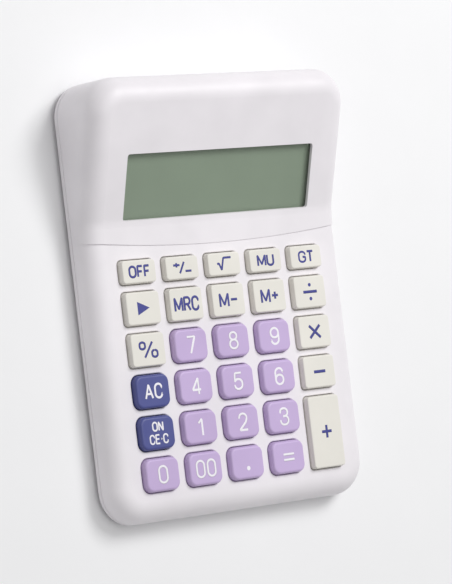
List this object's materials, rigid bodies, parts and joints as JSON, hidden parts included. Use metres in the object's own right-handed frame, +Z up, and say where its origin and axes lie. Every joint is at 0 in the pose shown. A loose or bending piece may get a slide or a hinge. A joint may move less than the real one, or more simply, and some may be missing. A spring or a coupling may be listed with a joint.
{
  "type": "desk calculator",
  "caption": "Desk calculator with a raised, tilted display hood over a keypad of rounded sprung keys, rubber feet and a sliding battery door underneath.",
  "frame": {"origin": "middle of the footprint, on the surface the feet stand on", "axes": "+Z up, +Y from the keys towards the display, +X to the user's right"},
  "size_m": [0.11, 0.147, 0.0262],
  "materials": {
    "case_white": "satin moulded plastic",
    "key_ivory": "satin moulded plastic",
    "key_lilac": "satin moulded plastic",
    "key_indigo": "satin moulded plastic",
    "clear_lens": "polished",
    "lcd_green": "satin",
    "lcd_glass": "polished",
    "lcd_reflector": "brushed film",
    "inner_plastic": "moulded",
    "ribbon_film": "film",
    "dome_rubber": "matt",
    "carbon_rubber": "matt",
    "board_laminate": "solder mask",
    "chip_epoxy": "cast",
    "ceramic_chip": "fired",
    "resistor_chip": "fired",
    "cell_wrap": "printed film",
    "contact_metal": "nickel plated",
    "screw_steel": "zinc plated",
    "feet_rubber": "matt",
    "wire_red": "insulation",
    "wire_black": "insulation"
  },
  "bodies": {
    "housing": {"battery_cell": "cell_wrap", "battery_plate": "contact_metal", "battery_spring": "contact_metal", "battery_wire_black": "wire_black", "battery_wire_red": "wire_red", "board_capacitors": "ceramic_chip", "board_resistors": "resistor_chip", "board_screws": "screw_steel", "bottom_case": "case_white", "carbon_pills": "carbon_rubber", "case_screws": "screw_steel", "chip_cap": "chip_epoxy", "display_hood": "case_white", "display_lens": "clear_lens", "dome_sheet": "dome_rubber", "keypad_case": "case_white", "lcd_frame": "inner_plastic", "lcd_frame_screws": "screw_steel", "lcd_front_polariser": "lcd_green", "lcd_glass": "lcd_glass", "lcd_reflector": "lcd_reflector", "lcd_ribbon": "ribbon_film", "main_board": "board_laminate", "rubber_feet": "feet_rubber", "spring_plate": "contact_metal"},
    "door": {"battery_door": "case_white"},
    "key_0_body": {"key_0": "key_lilac"},
    "key_00_body": {"key_00": "key_lilac"},
    "key_1_body": {"key_1": "key_lilac"},
    "key_2_body": {"key_2": "key_lilac"},
    "key_3_body": {"key_3": "key_lilac"},
    "key_4_body": {"key_4": "key_lilac"},
    "key_5_body": {"key_5": "key_lilac"},
    "key_6_body": {"key_6": "key_lilac"},
    "key_7_body": {"key_7": "key_lilac"},
    "key_8_body": {"key_8": "key_lilac"},
    "key_9_body": {"key_9": "key_lilac"},
    "key_ac_body": {"key_ac": "key_indigo"},
    "key_backspace_body": {"key_backspace": "key_ivory"},
    "key_divide_body": {"key_divide": "key_ivory"},
    "key_equals_body": {"key_equals": "key_lilac"},
    "key_gt_body": {"key_gt": "key_ivory"},
    "key_m_minus_body": {"key_m_minus": "key_ivory"},
    "key_m_plus_body": {"key_m_plus": "key_ivory"},
    "key_minus_body": {"key_minus": "key_ivory"},
    "key_mrc_body": {"key_mrc": "key_ivory"},
    "key_mu_body": {"key_mu": "key_ivory"},
    "key_multiply_body": {"key_multiply": "key_ivory"},
    "key_off_body": {"key_off": "key_ivory"},
    "key_on_ce_body": {"key_on_ce": "key_indigo"},
    "key_percent_body": {"key_percent": "key_ivory"},
    "key_plus_body": {"key_plus": "key_ivory"},
    "key_plus_minus_body": {"key_plus_minus": "key_ivory"},
    "key_point_body": {"key_point": "key_lilac"},
    "key_root_body": {"key_root": "key_ivory"}
  },
  "joints": [
    {"name": "battery_door_slide", "type": "slide", "parent": "housing", "child": "door", "axis": [0, 1, 0], "range_m": [0, 0.023]},
    {"name": "key_0_press", "type": "slide", "parent": "housing", "child": "key_0_body", "axis": [0, 0, -1], "range_m": [0, 0.0013], "stiffness_N_per_m": 350, "springref_m": -0.0006, "deforming": ["dome_sheet", "carbon_pills"]},
    {"name": "key_00_press", "type": "slide", "parent": "housing", "child": "key_00_body", "axis": [0, 0, -1], "range_m": [0, 0.0013], "stiffness_N_per_m": 350, "springref_m": -0.0006, "deforming": ["dome_sheet", "carbon_pills"]},
    {"name": "key_1_press", "type": "slide", "parent": "housing", "child": "key_1_body", "axis": [0, 0, -1], "range_m": [0, 0.0013], "stiffness_N_per_m": 350, "springref_m": -0.0006, "deforming": ["dome_sheet", "carbon_pills"]},
    {"name": "key_2_press", "type": "slide", "parent": "housing", "child": "key_2_body", "axis": [0, 0, -1], "range_m": [0, 0.0013], "stiffness_N_per_m": 350, "springref_m": -0.0006, "deforming": ["dome_sheet", "carbon_pills"]},
    {"name": "key_3_press", "type": "slide", "parent": "housing", "child": "key_3_body", "axis": [0, 0, -1], "range_m": [0, 0.0013], "stiffness_N_per_m": 350, "springref_m": -0.0006, "deforming": ["dome_sheet", "carbon_pills"]},
    {"name": "key_4_press", "type": "slide", "parent": "housing", "child": "key_4_body", "axis": [0, 0, -1], "range_m": [0, 0.0013], "stiffness_N_per_m": 350, "springref_m": -0.0006, "deforming": ["dome_sheet", "carbon_pills"]},
    {"name": "key_5_press", "type": "slide", "parent": "housing", "child": "key_5_body", "axis": [0, 0, -1], "range_m": [0, 0.0013], "stiffness_N_per_m": 350, "springref_m": -0.0006, "deforming": ["dome_sheet", "carbon_pills"]},
    {"name": "key_6_press", "type": "slide", "parent": "housing", "child": "key_6_body", "axis": [0, 0, -1], "range_m": [0, 0.0013], "stiffness_N_per_m": 350, "springref_m": -0.0006, "deforming": ["dome_sheet", "carbon_pills"]},
    {"name": "key_7_press", "type": "slide", "parent": "housing", "child": "key_7_body", "axis": [0, 0, -1], "range_m": [0, 0.0013], "stiffness_N_per_m": 350, "springref_m": -0.0006, "deforming": ["dome_sheet", "carbon_pills"]},
    {"name": "key_8_press", "type": "slide", "parent": "housing", "child": "key_8_body", "axis": [0, 0, -1], "range_m": [0, 0.0013], "stiffness_N_per_m": 350, "springref_m": -0.0006, "deforming": ["dome_sheet", "carbon_pills"]},
    {"name": "key_9_press", "type": "slide", "parent": "housing", "child": "key_9_body", "axis": [0, 0, -1], "range_m": [0, 0.0013], "stiffness_N_per_m": 350, "springref_m": -0.0006, "deforming": ["dome_sheet", "carbon_pills"]},
    {"name": "key_ac_press", "type": "slide", "parent": "housing", "child": "key_ac_body", "axis": [0, 0, -1], "range_m": [0, 0.0013], "stiffness_N_per_m": 350, "springref_m": -0.0006, "deforming": ["dome_sheet", "carbon_pills"]},
    {"name": "key_backspace_press", "type": "slide", "parent": "housing", "child": "key_backspace_body", "axis": [0, 0, -1], "range_m": [0, 0.0013], "stiffness_N_per_m": 350, "springref_m": -0.0006, "deforming": ["dome_sheet", "carbon_pills"]},
    {"name": "key_divide_press", "type": "slide", "parent": "housing", "child": "key_divide_body", "axis": [0, 0, -1], "range_m": [0, 0.0013], "stiffness_N_per_m": 350, "springref_m": -0.0006, "deforming": ["dome_sheet", "carbon_pills"]},
    {"name": "key_equals_press", "type": "slide", "parent": "housing", "child": "key_equals_body", "axis": [0, 0, -1], "range_m": [0, 0.0013], "stiffness_N_per_m": 350, "springref_m": -0.0006, "deforming": ["dome_sheet", "carbon_pills"]},
    {"name": "key_gt_press", "type": "slide", "parent": "housing", "child": "key_gt_body", "axis": [0, 0, -1], "range_m": [0, 0.0013], "stiffness_N_per_m": 350, "springref_m": -0.0006, "deforming": ["dome_sheet", "carbon_pills"]},
    {"name": "key_m_minus_press", "type": "slide", "parent": "housing", "child": "key_m_minus_body", "axis": [0, 0, -1], "range_m": [0, 0.0013], "stiffness_N_per_m": 350, "springref_m": -0.0006, "deforming": ["dome_sheet", "carbon_pills"]},
    {"name": "key_m_plus_press", "type": "slide", "parent": "housing", "child": "key_m_plus_body", "axis": [0, 0, -1], "range_m": [0, 0.0013], "stiffness_N_per_m": 350, "springref_m": -0.0006, "deforming": ["dome_sheet", "carbon_pills"]},
    {"name": "key_minus_press", "type": "slide", "parent": "housing", "child": "key_minus_body", "axis": [0, 0, -1], "range_m": [0, 0.0013], "stiffness_N_per_m": 350, "springref_m": -0.0006, "deforming": ["dome_sheet", "carbon_pills"]},
    {"name": "key_mrc_press", "type": "slide", "parent": "housing", "child": "key_mrc_body", "axis": [0, 0, -1], "range_m": [0, 0.0013], "stiffness_N_per_m": 350, "springref_m": -0.0006, "deforming": ["dome_sheet", "carbon_pills"]},
    {"name": "key_mu_press", "type": "slide", "parent": "housing", "child": "key_mu_body", "axis": [0, 0, -1], "range_m": [0, 0.0013], "stiffness_N_per_m": 350, "springref_m": -0.0006, "deforming": ["dome_sheet", "carbon_pills"]},
    {"name": "key_multiply_press", "type": "slide", "parent": "housing", "child": "key_multiply_body", "axis": [0, 0, -1], "range_m": [0, 0.0013], "stiffness_N_per_m": 350, "springref_m": -0.0006, "deforming": ["dome_sheet", "carbon_pills"]},
    {"name": "key_off_press", "type": "slide", "parent": "housing", "child": "key_off_body", "axis": [0, 0, -1], "range_m": [0, 0.0013], "stiffness_N_per_m": 350, "springref_m": -0.0006, "deforming": ["dome_sheet", "carbon_pills"]},
    {"name": "key_on_ce_press", "type": "slide", "parent": "housing", "child": "key_on_ce_body", "axis": [0, 0, -1], "range_m": [0, 0.0013], "stiffness_N_per_m": 350, "springref_m": -0.0006, "deforming": ["dome_sheet", "carbon_pills"]},
    {"name": "key_percent_press", "type": "slide", "parent": "housing", "child": "key_percent_body", "axis": [0, 0, -1], "range_m": [0, 0.0013], "stiffness_N_per_m": 350, "springref_m": -0.0006, "deforming": ["dome_sheet", "carbon_pills"]},
    {"name": "key_plus_press", "type": "slide", "parent": "housing", "child": "key_plus_body", "axis": [0, 0, -1], "range_m": [0, 0.0013], "stiffness_N_per_m": 350, "springref_m": -0.0006, "deforming": ["dome_sheet", "carbon_pills"]},
    {"name": "key_plus_minus_press", "type": "slide", "parent": "housing", "child": "key_plus_minus_body", "axis": [0, 0, -1], "range_m": [0, 0.0013], "stiffness_N_per_m": 350, "springref_m": -0.0006, "deforming": ["dome_sheet", "carbon_pills"]},
    {"name": "key_point_press", "type": "slide", "parent": "housing", "child": "key_point_body", "axis": [0, 0, -1], "range_m": [0, 0.0013], "stiffness_N_per_m": 350, "springref_m": -0.0006, "deforming": ["dome_sheet", "carbon_pills"]},
    {"name": "key_root_press", "type": "slide", "parent": "housing", "child": "key_root_body", "axis": [0, 0, -1], "range_m": [0, 0.0013], "stiffness_N_per_m": 350, "springref_m": -0.0006, "deforming": ["dome_sheet", "carbon_pills"]}
  ]
}
